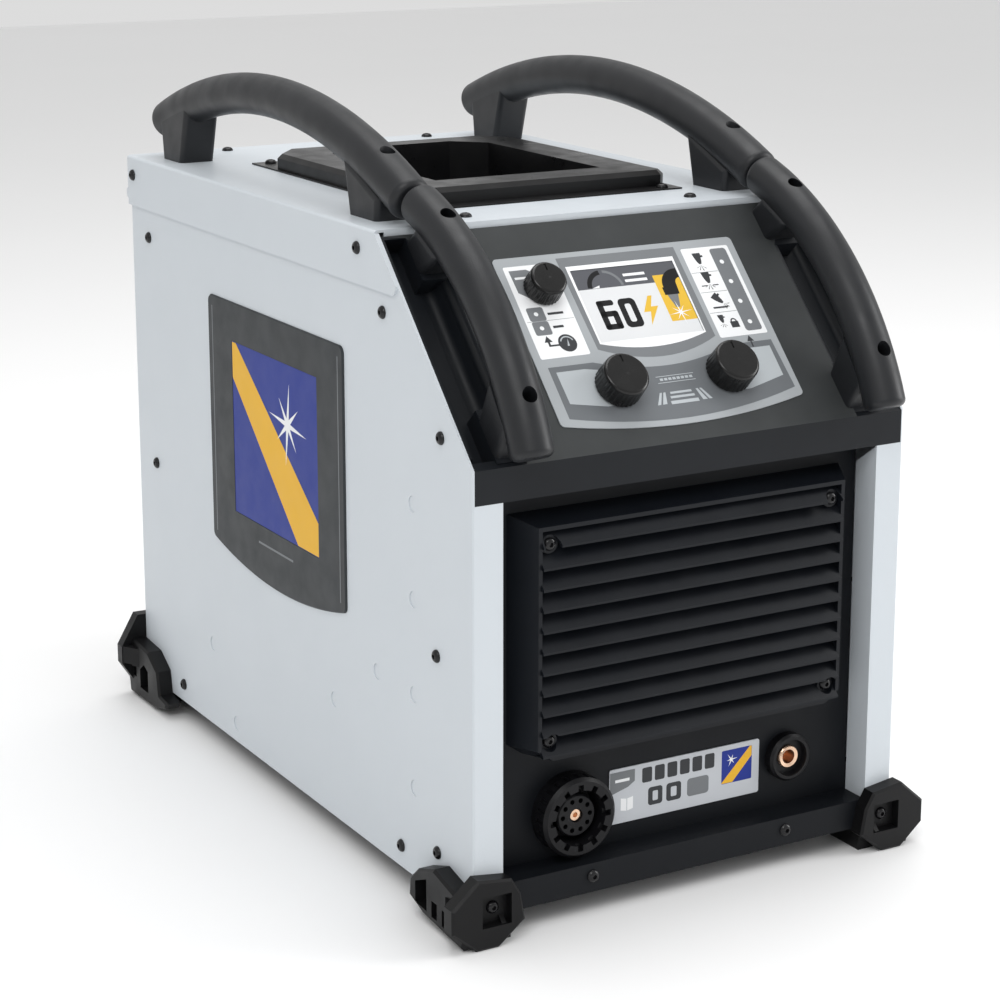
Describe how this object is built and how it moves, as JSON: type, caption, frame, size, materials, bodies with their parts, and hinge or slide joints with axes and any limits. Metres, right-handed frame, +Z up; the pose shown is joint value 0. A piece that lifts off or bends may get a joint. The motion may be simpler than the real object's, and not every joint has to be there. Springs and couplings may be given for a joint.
{
  "type": "plasma cutter unit",
  "caption": "Portable inverter plasma cutter in a light grey steel case with slanted control panel, louvred front, carry handles, top tray and corner feet.",
  "frame": {"origin": "middle of the footprint at floor level", "axes": "+Z up, front face towards -Y, +X to the right seen from the front"},
  "size_m": [0.336, 0.5432, 0.4666],
  "materials": {
    "panel_paint": "satin powder coat, very light cool grey",
    "dark_paint": "fine-texture black powder coat",
    "bezel_plastic": "matte moulded plastic, near black",
    "handle_plastic": "fine-grain charcoal plastic",
    "foot_plastic": "black moulded plastic",
    "tray_plastic": "fine-grain black plastic",
    "label_film": "satin printed polycarbonate film",
    "window_glass": "clear display pane",
    "module_dark": "moulded black",
    "circuit_board": "green solder mask",
    "knob_plastic": "polished black",
    "steel": "turned",
    "socket_plastic": "glass-filled black plastic",
    "brass": "machined contact metal",
    "plate_silver": "satin printed plate",
    "badge_charcoal": "satin charcoal plate",
    "badge_print": "gloss printed panel",
    "aluminium": "extruded",
    "inner_steel": "zinc-plated sheet",
    "winding": "varnished winding",
    "capacitor_can": "sleeved can",
    "screw_black": "black oxide button head"
  },
  "bodies": {
    "case": {"left_side_panel": "panel_paint", "right_side_panel": "panel_paint", "top_cover": "panel_paint", "base_tray": "dark_paint", "front_panel": "dark_paint", "rear_panel": "dark_paint", "fan_guard": "dark_paint", "control_bezel": "bezel_plastic", "louvre_grille": "bezel_plastic", "top_handle_left": "handle_plastic", "top_handle_right": "handle_plastic", "front_handle_left": "handle_plastic", "front_handle_right": "handle_plastic", "foot_front_left": "foot_plastic", "foot_front_right": "foot_plastic", "foot_rear_left": "foot_plastic", "foot_rear_right": "foot_plastic", "accessory_tray": "tray_plastic", "control_label": "label_film", "display_window": "window_glass", "display_module": "module_dark", "encoder_current": "module_dark", "encoder_mode": "module_dark", "encoder_air": "module_dark", "fan_frame": "module_dark", "air_regulator": "module_dark", "control_board": "circuit_board", "power_board": "circuit_board", "torch_socket_shell": "socket_plastic", "torch_socket_insert": "socket_plastic", "earth_socket_shell": "socket_plastic", "power_switch_plate": "socket_plastic", "mains_gland": "socket_plastic", "torch_socket_contact": "brass", "earth_socket_contact": "brass", "air_inlet": "brass", "name_plate": "plate_silver", "badge_left": "badge_charcoal", "badge_right": "badge_charcoal", "badge_insert_left": "badge_print", "badge_insert_right": "badge_print", "heatsink": "aluminium", "divider_plate": "inner_steel", "main_transformer": "winding", "output_inductor": "winding", "bulk_capacitor": "capacitor_can", "side_screws_left": "screw_black", "side_screws_right": "screw_black", "top_screws": "screw_black", "grille_screws": "screw_black", "base_screws": "screw_black", "rear_screws": "screw_black"},
    "current_knob": {"knob_current": "knob_plastic", "shaft_current": "steel"},
    "mode_knob": {"knob_mode": "knob_plastic", "shaft_mode": "steel"},
    "air_knob": {"knob_air": "knob_plastic", "shaft_air": "steel"},
    "fan_rotor_body": {"fan_rotor": "module_dark"},
    "mains_switch_knob": {"power_switch_knob": "knob_plastic"}
  },
  "joints": [
    {"name": "current_knob_turn", "type": "hinge", "parent": "case", "child": "current_knob", "pos_m": [-0.0384, -0.21886, 0.3116], "axis": [0, -0.7192, 0.6948], "continuous": true},
    {"name": "mode_knob_turn", "type": "hinge", "parent": "case", "child": "mode_knob", "pos_m": [0.0384, -0.21886, 0.3116], "axis": [0, -0.7192, 0.6948], "continuous": true},
    {"name": "air_knob_turn", "type": "hinge", "parent": "case", "child": "air_knob", "pos_m": [-0.06, -0.16988, 0.36231], "axis": [0, -0.7192, 0.6948], "range_deg": [-140, 140]},
    {"name": "fan_spin", "type": "hinge", "parent": "case", "child": "fan_rotor_body", "pos_m": [0.062, 0.2316, 0.215], "axis": [0, 1, 0], "continuous": true},
    {"name": "mains_switch_turn", "type": "hinge", "parent": "case", "child": "mains_switch_knob", "pos_m": [-0.085, 0.2516, 0.3], "axis": [0, 1, 0], "range_deg": [0, 90]}
  ]
}
